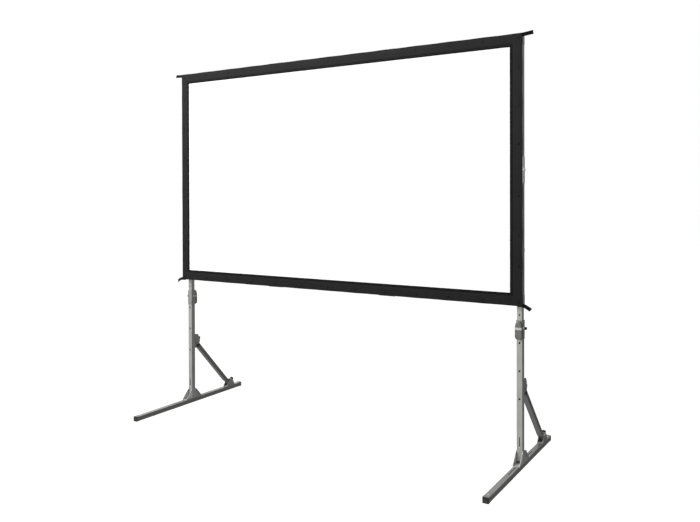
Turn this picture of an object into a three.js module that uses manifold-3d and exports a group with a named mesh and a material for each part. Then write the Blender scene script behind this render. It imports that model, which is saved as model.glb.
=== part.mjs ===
import * as THREE from 'three';
import { mergeVertices } from 'three/addons/utils/BufferGeometryUtils.js';
import Module from 'manifold-3d';

// A folding-frame outdoor projection screen on two T-shaped legs. Millimetres, +Z up.
// X runs across the picture, -Y is the side the audience sees, and the ground is z = 0.

const wasm = await Module();
wasm.setup();

// Clearance between pieces that touch, how far a cutting shape runs past what it cuts, and how close two
// corners are to count as one
const seat = 0.3;
const overrun = 2;
const weld = 0.0001;

// Screen cloth
const pictureWidth = 2657;
const pictureHeight = 1494;
const borderWidth = 79;
const clothThickness = 1;
const clothBottom = 1006;
const clothForward = 65;
const tab = { length: 64, width: 23, thickness: 4, bottomReach: 54, bottomDroop: 22, topRise: 4, inset: 6 };

// Frame tubes
const railSize = 38;
const railWall = 2;
const railCorner = 3;
const centreRail = 938;
const flange = 2.5;
const sleeve = { length: 120, wall: 2.5, frontGap: 3, hole: 3, holeInset: 22 };

// Frame hinges
const corner = { plug: 70, tongueWidth: 26, tongue: 10, hub: 10, pin: 4, lift: 0.4 };
const leaf = { length: 82, thickness: 2, width: 34, barrel: 5, pin: 2.4, offset: 2.5, knuckle: 12, hole: 2.5 };

// Posts
const postInset = 35.5;
const lowerPost = 38;
const lowerWall = 1.4;
const upperPost = 34.5;
const upperWall = 2;
const lowerPostTop = 903;
const upperPostBottom = 420;
const indexHole = { radius: 4, top: 946, pitch: 172, upperCount: 3, lowerCount: 3 };
const clampSlit = { width: 2.5, depth: 70 };

// Plate that joins a post to the bottom rail
const plate = {
  overKnob: 50, postOver: 10, reach: 120, edge: 2, fillet: 26, screw: 3, screwInset: 18, peg: 4, pegHeight: 1076,
};
const frameKnob = { height: 1340, head: 19, depth: 18, stem: 4, lobes: 6, lobe: 1.8, bevel: 2.5 };

// Clamp where the posts telescope
const jaw = { bottom: 798, top: 912, width: 47, reach: 24, round: 16, crown: 46, bevel: 7, collar: 2 };
const band = { bottom: 857, height: 15, thickness: 1.2, boss: 6.5, bossLength: 4.5, behind: 9 };
const clampKnob = { head: 9.5, depth: 12, stem: 3, lobes: 5, lobe: 1.1, bevel: 1.6 };

// Foot
const footLength = 1190;
const beam = { width: 34, height: 33, wall: 2, groove: 1.2, grooveHeight: 7 };
const beamSlot = { start: 101, end: 228, width: 5 };
const cap = { wall: 1.2, depth: 24, end: 4, sole: 1.2 };

// Bracket that the post's foot turns in
const base = {
  front: 84, rear: 82, top: 112, plate: 3, cheek: 3, topHalf: 19, foot: 7, rim: 9, sill: 12, lip: 8, lipWall: 2.5,
};
const footPivot = { pin: 5, foldGap: 3.2, below: 10.5, head: 9, headDepth: 4 };

// Brace, between its pivot on the post and its bolt on the foot
const brace = { width: 32, depth: 25, wall: 2, past: 15, pin: 5, bolt: 4, flare: 2.2 };
const bracePivot = { behind: 38, height: 487 };
const braceBolt = { fromEnd: 157, height: 62 };
const bracket = { wall: 3, bridge: 4, half: 10, head: 8, headDepth: 4 };
const upperBracket = {
  bottom: 440, top: 553, bridgeOut: 32, past: 8, rear: 60, rearRise: 10, crown: 30, crownDrop: 4, shoulder: 42,
  shoulderDrop: 20,
};
const lowerBracket = { front: 36, rear: 62, foot: 8, bridgeOut: 38, past: 15, noseBack: 16, noseOut: 4 };
const braceKnob = { head: 15, depth: 18, stem: 4, lobes: 6, lobe: 1.5, bevel: 2.5, gap: 1.6 };

// Colours
const finish = {
  pictureCloth: { color: 0xf6f6f4, roughness: 0.9, metalness: 0 },
  blackCloth: { color: 0x1b1b1c, roughness: 0.85, metalness: 0 },
  webbing: { color: 0x141415, roughness: 0.9, metalness: 0 },
  aluminium: { color: 0xb4b5b1, roughness: 0.4, metalness: 0.9 },
  darkAluminium: { color: 0x7c7d7a, roughness: 0.45, metalness: 0.85 },
  steel: { color: 0xc9cbc8, roughness: 0.25, metalness: 1 },
  greyPlastic: { color: 0x666762, roughness: 0.55, metalness: 0 },
  blackPlastic: { color: 0x1d1d1d, roughness: 0.5, metalness: 0 },
  rubber: { color: 0x2a2a29, roughness: 0.8, metalness: 0 },
};

// Sizes that follow
const clothWidth = pictureWidth + 2 * borderWidth;
const clothHeight = pictureHeight + 2 * borderWidth;
const clothTop = clothBottom + clothHeight;
const railHalf = railSize / 2;
const railBore = railSize - 2 * railWall;
const railFront = clothThickness + seat - clothForward;
const railRear = railFront + railSize;
const railMiddle = railFront + railHalf;
const sideCentre = clothWidth / 2 - railHalf;
const midHeight = clothBottom + clothHeight / 2;
const pivotRise = railSize + railHalf + corner.lift;
const pivotToMiddle = clothHeight / 2 - pivotRise;
const postX = clothWidth / 2 - postInset;
const lowerHalf = lowerPost / 2;
const upperHalf = upperPost / 2;
const beamBottom = cap.sole + seat;
const beamTop = beamBottom + beam.height;
const bracketFloor = beamTop + seat;
const pivotHeight = bracketFloor + base.plate + footPivot.foldGap + lowerHalf;
const lowerPostBottom = pivotHeight - footPivot.below;
const clampMiddle = band.bottom + band.height / 2;
const collarFace = lowerHalf + seat + jaw.collar;
const bandFace = collarFace + seat;
const plateTop = frameKnob.height + plate.overKnob;
const upperPostTop = plateTop + plate.postOver;
braceBolt.behind = footLength / 2 - braceBolt.fromEnd;
const along = new THREE.Vector2(braceBolt.behind - bracePivot.behind, braceBolt.height - bracePivot.height);
const braceLength = along.length();
along.normalize();
const outward = new THREE.Vector2(-along.y, along.x);
const tilt = Math.atan2(along.y, along.x);

// Booleans
function solid(geometry) {
  const bare = geometry.clone();
  bare.deleteAttribute('normal');
  bare.deleteAttribute('uv');
  const merged = mergeVertices(bare, weld);
  const vertProperties = new Float32Array(merged.attributes.position.array);
  const triVerts = new Uint32Array(merged.index.array);
  return new wasm.Manifold(new wasm.Mesh({ numProp: 3, vertProperties, triVerts }));
}

function toGeometry(body) {
  const mesh = body.getMesh();
  const geometry = new THREE.BufferGeometry();
  geometry.setAttribute('position', new THREE.BufferAttribute(new Float32Array(mesh.vertProperties), 3));
  geometry.setIndex(new THREE.BufferAttribute(new Uint32Array(mesh.triVerts), 1));
  const flat = geometry.toNonIndexed();
  flat.computeVertexNormals();
  return flat;
}

const union = (first, ...rest) => rest.reduce((sum, next) => sum.add(next), first);
const cut = (first, ...rest) => rest.reduce((left, next) => left.subtract(next), first);

// Outlines
function roundedRect(width, height, radius) {
  const x = width / 2;
  const y = height / 2;
  const shape = new THREE.Shape();
  shape.absarc(x - radius, y - radius, radius, 0, Math.PI / 2);
  shape.absarc(radius - x, y - radius, radius, Math.PI / 2, Math.PI);
  shape.absarc(radius - x, radius - y, radius, Math.PI, Math.PI * 1.5);
  shape.absarc(x - radius, radius - y, radius, Math.PI * 1.5, Math.PI * 2);
  return shape;
}

function polygon(points) {
  return new THREE.Shape(points.map(([x, y]) => new THREE.Vector2(x, y)));
}

function rectangle(x0, y0, x1, y1) {
  return polygon([[x0, y0], [x1, y0], [x1, y1], [x0, y1]]);
}

function lobedDisc(radius, lobes, depth) {
  const steps = lobes * 4;
  const points = [];
  for (let i = 0; i < steps; i += 1) {
    const angle = (i / steps) * Math.PI * 2;
    const r = radius - depth + depth * Math.cos(angle * lobes);
    points.push([r * Math.cos(angle), r * Math.sin(angle)]);
  }
  return polygon(points);
}

// Extrusions: up along Z, through along X from an outline in Y and Z, and back along Y from one in X and Z
function extrude(shape, depth, curveSegments = 2) {
  return new THREE.ExtrudeGeometry(shape, { depth, curveSegments, bevelEnabled: false });
}

function upright(shape, z0, z1, curveSegments) {
  return solid(extrude(shape, z1 - z0, curveSegments).translate(0, 0, z0));
}

function across(shape, x0, x1, curveSegments) {
  const turn = new THREE.Matrix4().set(0, 0, 1, x0, 1, 0, 0, 0, 0, 1, 0, 0, 0, 0, 0, 1);
  return solid(extrude(shape, x1 - x0, curveSegments).applyMatrix4(turn));
}

function backward(shape, y0, y1, curveSegments) {
  return solid(extrude(shape, y1 - y0, curveSegments).rotateX(Math.PI / 2).translate(0, y1, 0));
}

function box(x0, y0, z0, x1, y1, z1) {
  return upright(rectangle(x0, y0, x1, y1), z0, z1);
}

function rod(radius, from, to, sides = 16) {
  const span = new THREE.Vector3().subVectors(to, from);
  const geometry = new THREE.CylinderGeometry(radius, radius, span.length(), sides);
  const turn = new THREE.Quaternion().setFromUnitVectors(new THREE.Vector3(0, 1, 0), span.clone().normalize());
  geometry.applyQuaternion(turn);
  geometry.translate((from.x + to.x) / 2, (from.y + to.y) / 2, (from.z + to.z) / 2);
  return solid(geometry);
}

function rodX(radius, y, z, x0, x1, sides) {
  return rod(radius, new THREE.Vector3(x0, y, z), new THREE.Vector3(x1, y, z), sides);
}

function rodY(radius, x, z, y0, y1, sides) {
  return rod(radius, new THREE.Vector3(x, y0, z), new THREE.Vector3(x, y1, z), sides);
}

// Placing a finished solid in the scene
const screen = new THREE.Group();

function place(parent, name, body, look, x = 0, y = 0, z = 0, rotation = [0, 0, 0]) {
  const mesh = new THREE.Mesh(toGeometry(body), new THREE.MeshStandardMaterial(finish[look]));
  mesh.name = name;
  mesh.position.set(x, y, z);
  mesh.rotation.set(...rotation);
  parent.add(mesh);
}

// A hand knob on the Z axis: a lobed head from 0 up to its depth, and a stem of the given length below it
function handKnob(size, stemLength) {
  const disc = lobedDisc(size.head - size.bevel, size.lobes, size.lobe);
  const depth = size.depth - 2 * size.bevel;
  const bevel = { bevelEnabled: true, bevelThickness: size.bevel, bevelSize: size.bevel, bevelSegments: 2 };
  const head = new THREE.ExtrudeGeometry(disc, { depth, ...bevel }).translate(0, 0, size.bevel);
  const stem = rod(size.stem, new THREE.Vector3(0, 0, -stemLength), new THREE.Vector3(0, 0, size.bevel));
  return union(solid(head), stem);
}

// Cloth and pull tabs
function pictureCloth() {
  const shape = rectangle(-pictureWidth / 2, -pictureHeight / 2, pictureWidth / 2, pictureHeight / 2);
  return backward(shape, 0, clothThickness);
}

function borderCloth() {
  const x = pictureWidth / 2 + seat;
  const z = pictureHeight / 2 + seat;
  const shape = rectangle(-clothWidth / 2, -clothHeight / 2, clothWidth / 2, clothHeight / 2);
  shape.holes.push(rectangle(-x, -z, x, z));
  return backward(shape, 0, clothThickness);
}

// A doubled webbing strap that starts at the cloth's edge and ends lower or higher by the given drop
function pullTab(reach, drop) {
  const half = tab.width / 2;
  const steps = 6;
  const top = [];
  const bottom = [];
  for (let i = 0; i <= steps; i += 1) {
    const t = i / steps;
    const z = drop * t * t;
    top.push([reach * t, z + half]);
    bottom.unshift([reach * t, z - half]);
  }
  return backward(polygon([...bottom, ...top]), 0, tab.thickness);
}

function buildCloth() {
  const front = -clothForward;
  place(screen, 'picture_cloth', pictureCloth(), 'pictureCloth', 0, front, midHeight);
  place(screen, 'border_cloth', borderCloth(), 'blackCloth', 0, front, midHeight);
  const edge = clothWidth / 2 + seat;
  const topZ = clothTop - tab.width / 2 + tab.inset;
  const bottomZ = clothBottom + tab.width / 2 - tab.inset;
  for (const [side, name] of [[-1, 'left'], [1, 'right']]) {
    const turn = side > 0 ? [0, 0, 0] : [0, 0, Math.PI];
    const y = side > 0 ? front : front + tab.thickness;
    place(screen, `pull_tab_top_${name}`, pullTab(tab.length, tab.topRise), 'webbing', side * edge, y, topZ, turn);
    const droop = pullTab(tab.bottomReach, -tab.bottomDroop);
    place(screen, `pull_tab_bottom_${name}`, droop, 'webbing', side * edge, y, bottomZ, turn);
  }
}

// Frame: square tube on the X axis, then its cuts
function railTube(x0, x1) {
  const shape = roundedRect(railSize, railSize, railCorner);
  shape.holes.push(rectangle(-railBore / 2, -railBore / 2, railBore / 2, railBore / 2));
  return across(shape, x0, x1, 1);
}

function centreRailTube() {
  return railTube((seat - centreRail) / 2, (centreRail - seat) / 2);
}

// The outer third of a rail, right-hand and with its side tube above it
function outerRailTube() {
  const tube = railTube((centreRail + seat) / 2, clothWidth / 2 - flange - seat);
  const x = corner.tongueWidth / 2 + seat;
  const y = corner.tongue / 2 + seat;
  const slot = box(sideCentre - x, -y, 0, sideCentre + x, y, railHalf + overrun);
  return cut(tube, slot);
}

// Saddle over the joint between two lengths of rail, open towards the cloth
function railSleeve() {
  const inner = railHalf + seat;
  const outer = inner + sleeve.wall;
  const front = sleeve.frontGap - railHalf;
  const shape = polygon([
    [front, -outer], [outer, -outer], [outer, outer], [front, outer],
    [front, inner], [inner, inner], [inner, -inner], [front, -inner],
  ]);
  const body = across(shape, -sleeve.length / 2, sleeve.length / 2);
  const holes = [-1, 1].map((side) => {
    const x = side * (sleeve.length / 2 - sleeve.holeInset);
    return rodY(sleeve.hole, x, 0, inner - overrun, outer + overrun, 12);
  });
  return cut(body, ...holes);
}

// Corner casting of the right-hand lower corner: a plug in the rail's end with a flange over the end, and a
// tongue through the rail's wall that carries the side tube on its hub and rivet
function cornerCasting() {
  const half = railBore / 2 - seat;
  const end = clothWidth / 2;
  const plug = box(end - flange - corner.plug, -half, -half, end - flange, half, half);
  const flangeBody = across(roundedRect(railSize, railSize, railCorner), end - flange, end, 1);
  const pivot = railHalf + corner.lift + railHalf;
  const x = corner.tongueWidth / 2;
  const neck = rectangle(sideCentre - x, 0, sideCentre + x, pivot);
  const tongue = backward(neck, -corner.tongue / 2, corner.tongue / 2);
  const head = rodY(x, sideCentre, pivot, -corner.tongue / 2, corner.tongue / 2);
  const hub = rodY(corner.hub, sideCentre, pivot, -half, half);
  const pin = rodY(corner.pin, sideCentre, pivot, -railHalf, railHalf);
  return union(plug, flangeBody, tongue, head, hub, pin);
}

// Half of a side tube: round end at the corner pivot on the origin, inner wall towards +X, middle end on top
function sideHalf() {
  const end = pivotToMiddle - seat / 2;
  const section = roundedRect(railSize, railSize, railCorner);
  section.holes.push(rectangle(-railBore / 2, -railBore / 2, railBore / 2, railBore / 2));
  const tube = upright(section, -railHalf, end, 1);
  const outline = new THREE.Shape();
  outline.moveTo(railHalf, end + overrun);
  outline.lineTo(-railHalf, end + overrun);
  outline.lineTo(-railHalf, 0);
  outline.absarc(0, 0, railHalf, Math.PI, Math.PI * 2);
  const rounded = tube.intersect(backward(outline, -railSize, railSize, 6));
  const slotY = corner.tongue / 2 + seat;
  const slotTop = corner.tongueWidth / 2 + 2 * seat;
  const slot = box(0, -slotY, -railSize, railSize, slotY, slotTop);
  const pinHole = rodY(corner.pin + seat, 0, 0, -railSize, railSize);
  const barrelX = -railHalf - leaf.offset;
  const notch = rodY(leaf.barrel + seat, barrelX, pivotToMiddle, -railSize, railSize);
  return cut(rounded, slot, pinHole, notch);
}

// Hinge leaf on a half tube's outer face. The lower leaf carries the outer knuckles and the pin.
function hingeLeaf(isLower) {
  const z = pivotToMiddle;
  const inner = -railHalf - seat;
  const x = -railHalf - leaf.offset;
  const reach = leaf.barrel + seat;
  const half = leaf.width / 2;
  let body = box(inner - leaf.thickness, -half, z - leaf.length, inner, half, z - reach);
  const middle = leaf.knuckle / 2;
  const spans = isLower ? [[-half, -middle - seat], [middle + seat, half]] : [[-middle, middle]];
  for (const [y0, y1] of spans) {
    const arm = box(inner - leaf.thickness, y0, z - reach - overrun, inner, y1, z);
    body = union(body, arm, rodY(leaf.barrel, x, z, y0, y1));
  }
  const screws = [-1, 1].map((side) => {
    const height = z - leaf.length / 2 + (side * leaf.length) / 4;
    return rodX(leaf.hole, 0, height, inner - leaf.thickness - overrun, inner + overrun, 12);
  });
  body = cut(body, ...screws);
  const pin = rodY(leaf.pin, x, z, -half, half);
  return isLower ? union(body, pin) : cut(body, rodY(leaf.pin + seat, x, z, -railSize, railSize));
}

function buildFrame() {
  const over = [Math.PI, 0, 0];
  const turned = [0, 0, Math.PI];
  const overTurned = [0, Math.PI, 0];
  const upright0 = [0, 0, 0];
  const railZ = { bottom: clothBottom + railHalf, top: clothTop - railHalf };
  const turns = {
    bottom_right: upright0, bottom_left: turned, top_right: over, top_left: overTurned,
  };
  for (const level of ['bottom', 'top']) {
    const z = railZ[level];
    place(screen, `${level}_rail_centre`, centreRailTube(), 'aluminium', 0, railMiddle, z);
    for (const [side, name] of [[-1, 'left'], [1, 'right']]) {
      const turn = turns[`${level}_${name}`];
      place(screen, `${level}_rail_${name}`, outerRailTube(), 'aluminium', 0, railMiddle, z, turn);
      place(screen, `${level}_corner_${name}`, cornerCasting(), 'aluminium', 0, railMiddle, z, turn);
      const x = (side * centreRail) / 2;
      place(screen, `${level}_rail_joint_${name}`, railSleeve(), 'darkAluminium', x, railMiddle, z);
    }
  }
  const halves = { lower: clothBottom + pivotRise, upper: clothTop - pivotRise };
  const sideTurns = { lower_left: upright0, lower_right: turned, upper_left: over, upper_right: overTurned };
  for (const level of ['lower', 'upper']) {
    for (const [side, name] of [[-1, 'left'], [1, 'right']]) {
      const turn = sideTurns[`${level}_${name}`];
      const z = halves[level];
      const x = side * sideCentre;
      place(screen, `side_tube_${level}_${name}`, sideHalf(), 'aluminium', x, railMiddle, z, turn);
      const leafBody = hingeLeaf(level === 'lower');
      place(screen, `side_hinge_${level}_${name}`, leafBody, 'steel', x, railMiddle, z, turn);
    }
  }
}

// Legs: each is built about its post's centre line, with the brace behind it
function postTube(size, wall, z0, z1) {
  const shape = roundedRect(size, size, railCorner);
  const bore = size - 2 * wall;
  shape.holes.push(rectangle(-bore / 2, -bore / 2, bore / 2, bore / 2));
  return upright(shape, z0, z1, 1);
}

function upperPostTube() {
  const tube = postTube(upperPost, upperWall, upperPostBottom, upperPostTop);
  const holes = [];
  for (let i = 0; i < indexHole.upperCount; i += 1) {
    const z = indexHole.top - i * indexHole.pitch;
    holes.push(rodY(indexHole.radius, 0, z, -upperPost, upperPost, 12));
  }
  holes.push(rodY(plate.peg + seat, 0, plate.pegHeight, -upperPost, 0, 12));
  holes.push(rodY(frameKnob.stem + seat, 0, frameKnob.height, -upperPost, upperPost, 12));
  return cut(tube, ...holes);
}

function lowerPostTube() {
  const tube = postTube(lowerPost, lowerWall, lowerPostBottom, lowerPostTop);
  const cuts = [];
  for (let i = 1; i <= indexHole.lowerCount; i += 1) {
    const z = indexHole.top - i * indexHole.pitch;
    cuts.push(rodY(indexHole.radius, 0, z, -lowerPost, lowerPost, 12));
  }
  const half = clampSlit.width / 2;
  const slitBottom = lowerPostTop - clampSlit.depth;
  cuts.push(box(-lowerPost, -half, slitBottom, lowerPost, half, lowerPostTop + overrun));
  cuts.push(rodX(footPivot.pin + seat, 0, pivotHeight, -lowerPost, lowerPost));
  return cut(tube, ...cuts);
}

// Two values of X on one side of the centre line, lower first
function span(side, a, b) {
  return side > 0 ? [a, b] : [-b, -a];
}

// Plate between the frame's rear and the post's front, with its arm along the bottom rail towards the middle
function legPlate(side) {
  const bottom = clothBottom + plate.edge;
  const armTop = clothBottom + railSize - plate.edge;
  const front = railRear + seat;
  const rear = -upperHalf - seat;
  const end = -upperHalf - plate.reach;
  const [armX0, armX1] = span(side, end, upperHalf);
  const [cornerX0, cornerX1] = span(side, -upperHalf - plate.fillet, -upperHalf);
  const upright0 = box(-upperHalf, front, bottom, upperHalf, rear, plateTop);
  const arm = box(armX0, front, bottom, armX1, rear, armTop);
  const web = box(cornerX0, front, armTop - plate.edge, cornerX1, rear, armTop + plate.fillet);
  const roundX = side * (-upperHalf - plate.fillet);
  const round = rodY(plate.fillet, roundX, armTop + plate.fillet, front - overrun, rear + overrun, 24);
  const body = union(upright0, cut(union(arm, web), round));
  const screwZ = clothBottom + railHalf;
  const screws = [end + plate.screwInset, -upperHalf - plate.screwInset].map((x) => (
    rodY(plate.screw, side * x, screwZ, front - overrun, rear + overrun, 12)
  ));
  const knobHole = rodY(frameKnob.stem + seat, 0, frameKnob.height, front - overrun, rear + overrun);
  const peg = rodY(plate.peg, 0, plate.pegHeight, rear - overrun, rear + 2 * plate.peg, 12);
  return union(cut(body, ...screws, knobHole), peg);
}

// Oval jaw on the post's front, with a groove that the band lies in, and its thin collar round the post
function clampJaw() {
  const x = jaw.width / 2 - jaw.bevel;
  const bottom = jaw.bottom + jaw.bevel;
  const shoulder = jaw.top - jaw.crown;
  const round = jaw.round - jaw.bevel;
  const shape = new THREE.Shape();
  shape.moveTo(-x, shoulder);
  shape.lineTo(-x, bottom + round);
  shape.absarc(round - x, bottom + round, round, Math.PI, Math.PI * 1.5);
  shape.absarc(x - round, bottom + round, round, Math.PI * 1.5, Math.PI * 2);
  shape.absellipse(0, shoulder, x, jaw.crown - jaw.bevel, 0, Math.PI);
  const bevel = { bevelEnabled: true, bevelThickness: jaw.bevel, bevelSize: jaw.bevel, bevelSegments: 3 };
  const blank = new THREE.ExtrudeGeometry(shape, { depth: jaw.reach, curveSegments: 5, ...bevel });
  const front = -lowerHalf - jaw.reach;
  blank.rotateX(Math.PI / 2).translate(0, front + jaw.bevel + jaw.reach, 0);
  const behind = box(-jaw.width, -lowerHalf - seat, jaw.bottom - overrun, jaw.width, lowerPost, jaw.top + overrun);
  const z0 = band.bottom - seat;
  const z1 = band.bottom + band.height + seat;
  const around = box(-jaw.width, 2 * front, z0, jaw.width, lowerPost, z1);
  const kept = upright(bandOutline(-seat), z0 - overrun, z1 + overrun, 2);
  const collar = postTube(2 * collarFace, jaw.collar, jaw.bottom, jaw.top);
  return union(cut(solid(blank), behind, cut(around, kept)), collar);
}

// The path of the band's inner face round the collar and over the jaw, grown by an offset
function bandOutline(offset) {
  const post = bandFace + offset;
  const x = jaw.width / 2 - band.thickness + offset;
  const front = band.thickness - lowerHalf - jaw.reach - offset;
  const shoulder = -lowerHalf;
  const radius = jaw.bevel - band.thickness + offset;
  const shape = new THREE.Shape();
  shape.moveTo(-post, post);
  shape.lineTo(-post, shoulder);
  shape.lineTo(-x, shoulder - x + post);
  shape.absarc(radius - x, front + radius, radius, Math.PI, Math.PI * 1.5);
  shape.absarc(x - radius, front + radius, radius, Math.PI * 1.5, Math.PI * 2);
  shape.lineTo(x, shoulder - x + post);
  shape.lineTo(post, shoulder);
  shape.lineTo(post, post);
  return shape;
}

// Band over the jaw and back along the collar's sides, with a threaded boss on one side for the clamp's knob
function clampBand() {
  const top = band.bottom + band.height;
  const inner = upright(bandOutline(0), band.bottom - overrun, top + overrun, 2);
  const loop = cut(upright(bandOutline(band.thickness), band.bottom, top, 2), inner);
  const open = box(-jaw.width, band.behind, band.bottom - overrun, jaw.width, lowerPost, top + overrun);
  const boss = rodX(band.boss, 0, clampMiddle, bandFace, bandFace + band.thickness + band.bossLength);
  const hole = rodX(clampKnob.stem + seat, 0, clampMiddle, bandFace - overrun, bandFace + 2 * band.boss);
  return cut(union(cut(loop, open), boss), hole);
}

// Foot beam along Y: a tube with a groove along both sides and two long slots in its top
function footBeam() {
  const x = beam.width / 2;
  const middle = beamBottom + beam.height / 2;
  const low = middle - beam.grooveHeight / 2;
  const high = middle + beam.grooveHeight / 2;
  const shape = polygon([
    [-x, beamBottom], [x, beamBottom], [x, low], [x - beam.groove, low], [x - beam.groove, high], [x, high],
    [x, beamTop], [-x, beamTop], [-x, high], [beam.groove - x, high], [beam.groove - x, low], [-x, low],
  ]);
  const boreX = x - beam.groove - beam.wall;
  shape.holes.push(rectangle(-boreX, beamBottom + beam.wall, boreX, beamTop - beam.wall));
  const end = footLength / 2 - cap.end - seat;
  const half = beamSlot.width / 2;
  const slots = [-1, 1].map((side) => {
    const [y0, y1] = span(side, beamSlot.start, beamSlot.end);
    return box(-half, y0, middle, half, y1, beamTop + overrun);
  });
  return cut(backward(shape, -end, end), ...slots);
}

// Cap over the beam's rear end, standing on the ground
function footCap() {
  const x = beam.width / 2 + seat + cap.wall;
  const top = beamTop + seat + cap.wall;
  const end = footLength / 2;
  const start = end - cap.end - cap.depth;
  const chamfer = cap.wall;
  const shape = roundedRect(2 * (x - chamfer), top - 2 * chamfer, cap.wall);
  const bevel = { bevelEnabled: true, bevelThickness: chamfer, bevelSize: chamfer, bevelSegments: 1 };
  const depth = end - start - 2 * chamfer;
  const blank = new THREE.ExtrudeGeometry(shape, { depth, curveSegments: 1, ...bevel });
  blank.rotateX(Math.PI / 2).translate(0, end - chamfer, top / 2);
  const inner = beam.width / 2 + seat;
  const socket = box(-inner, start - overrun, cap.sole, inner, end - cap.end, beamTop + seat);
  return cut(solid(blank), socket);
}

// A strip of the given width inside the edge from a to b of an outline that runs anticlockwise
function edgeStrip(a, b, width) {
  const edge = new THREE.Vector2(b[0] - a[0], b[1] - a[1]).normalize();
  const inwardY = -edge.y * width;
  const inwardZ = edge.x * width;
  return polygon([a, b, [b[0] + inwardY, b[1] + inwardZ], [a[0] + inwardY, a[1] + inwardZ]]);
}

// Bolt with six-sided heads, along X
function bolt(radius, y, z, face, head, headDepth) {
  const shank = rodX(radius, y, z, -face, face);
  const heads = [[-face - headDepth, -face], [face, face + headDepth]];
  return union(shank, ...heads.map(([x0, x1]) => rodX(head, y, z, x0, x1, 6)));
}

// Two triangular cheeks on a base plate, with a window before the post and the rear edge turned outwards, and
// the post's pivot bolt
function baseBracket() {
  const inner = lowerHalf + seat;
  const outer = inner + base.cheek;
  const foot = bracketFloor + base.foot;
  const points = [
    [-base.front, bracketFloor], [base.rear, bracketFloor], [base.rear, foot],
    [base.topHalf, base.top], [-base.topHalf, base.top], [-base.front, foot],
  ];
  const strip = edgeStrip(points[2], points[3], base.lipWall);
  const slope = (base.top - foot) / (base.front - base.topHalf);
  const sill = bracketFloor + base.sill;
  const window = polygon([
    [base.rim - base.front + (sill - foot) / slope, sill], [-base.topHalf, sill],
    [-base.topHalf, base.top - base.rim * slope],
  ]);
  let body = box(-outer, -base.front, bracketFloor, outer, base.rear, bracketFloor + base.plate);
  for (const side of [-1, 1]) {
    const [x0, x1] = span(side, inner, outer);
    const [lip0, lip1] = span(side, inner, outer + base.lip);
    const cheek = cut(across(polygon(points), x0, x1), across(window, x0 - overrun, x1 + overrun));
    body = union(body, cheek, across(strip, lip0, lip1));
  }
  return union(body, bolt(footPivot.pin, 0, pivotHeight, outer, footPivot.head, footPivot.headDepth));
}

// A point in Y and Z, counted from a pivot along the brace and square to it
function fromPivot(pivot, alongBy, outBy) {
  const y = pivot.behind + along.x * alongBy + outward.x * outBy;
  return [y, pivot.height + along.y * alongBy + outward.y * outBy];
}

// Two ears beside the brace, a bridge over its back for the hand knob, and the bolt through it
function braceBracket(pivot, ear, web, shape, pin) {
  const { bridgeOut, past } = shape;
  const inner = brace.width / 2 + seat;
  const outer = inner + bracket.wall;
  const bridge = polygon([
    fromPivot(pivot, past - bracket.half, bridgeOut), fromPivot(pivot, past + bracket.half, bridgeOut),
    fromPivot(pivot, past + bracket.half, bridgeOut + bracket.bridge),
    fromPivot(pivot, past - bracket.half, bridgeOut + bracket.bridge),
  ]);
  const ears = [-1, 1].map((side) => {
    const [x0, x1] = span(side, inner, outer);
    return across(polygon(ear), x0, x1);
  });
  const [y0, z0] = fromPivot(pivot, past, bridgeOut - overrun);
  const [y1, z1] = fromPivot(pivot, past, bridgeOut + bracket.bridge + overrun);
  const hole = rod(braceKnob.stem + seat, new THREE.Vector3(0, y0, z0), new THREE.Vector3(0, y1, z1), 12);
  const body = union(web(outer), ...ears, across(bridge, -outer, outer));
  return union(cut(body, hole), bolt(pin, pivot.behind, pivot.height, outer, bracket.head, bracket.headDepth));
}

function upperBraceBracket() {
  const y = lowerHalf + seat;
  const { bottom, top, rear, rearRise, crown, crownDrop, shoulder, shoulderDrop, bridgeOut, past } = upperBracket;
  const edge = bridgeOut + bracket.bridge;
  const ear = [
    [y, bottom], [rear - rearRise, bottom], [rear, bottom + rearRise],
    fromPivot(bracePivot, past + bracket.half, edge), fromPivot(bracePivot, past - bracket.half, edge),
    [y + shoulder, top - shoulderDrop], [y + crown, top - crownDrop], [y, top],
  ];
  const web = (x) => box(-x, y, bottom, x, y + bracket.wall, top);
  return braceBracket(bracePivot, ear, web, upperBracket, brace.pin);
}

function lowerBraceBracket() {
  const { front, rear, foot, bridgeOut, past, noseBack, noseOut } = lowerBracket;
  const edge = bridgeOut + bracket.bridge;
  const y0 = braceBolt.behind - front;
  const y1 = braceBolt.behind + rear;
  const ear = [
    [y0, bracketFloor], [y1, bracketFloor], [y1, bracketFloor + foot],
    fromPivot(braceBolt, past + bracket.half, edge), fromPivot(braceBolt, past - bracket.half, edge),
    fromPivot(braceBolt, -noseBack, noseOut), [y0, bracketFloor + foot],
  ];
  const web = (x) => box(-x, y0, bracketFloor, x, y1, bracketFloor + bracket.wall);
  return braceBracket(braceBolt, ear, web, lowerBracket, brace.bolt);
}

// Brace from its pivot on the origin along +Y: a round end, a hollow tube and an open slot over the foot's bolt
function braceBar() {
  const z = brace.depth / 2;
  const end = braceLength + brace.past;
  const outline = new THREE.Shape();
  outline.moveTo(end, -z);
  outline.lineTo(end, z);
  outline.absarc(0, 0, z, Math.PI / 2, Math.PI * 1.5);
  const blank = across(outline, -brace.width / 2, brace.width / 2, 6);
  const boreX = brace.width / 2 - brace.wall;
  const boreZ = z - brace.wall;
  const bore = box(-boreX, z, -boreZ, boreX, end + overrun, boreZ);
  const half = brace.bolt + seat;
  const mouth = half + brace.flare;
  const slot = new THREE.Shape();
  slot.moveTo(end + overrun, -mouth);
  slot.lineTo(end + overrun, mouth);
  slot.absarc(braceLength, 0, half, Math.PI / 2, Math.PI * 1.5);
  const slotBody = across(slot, -brace.width, brace.width, 3);
  return cut(blank, bore, slotBody, rodX(brace.pin + seat, 0, 0, -brace.width, brace.width));
}

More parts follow.
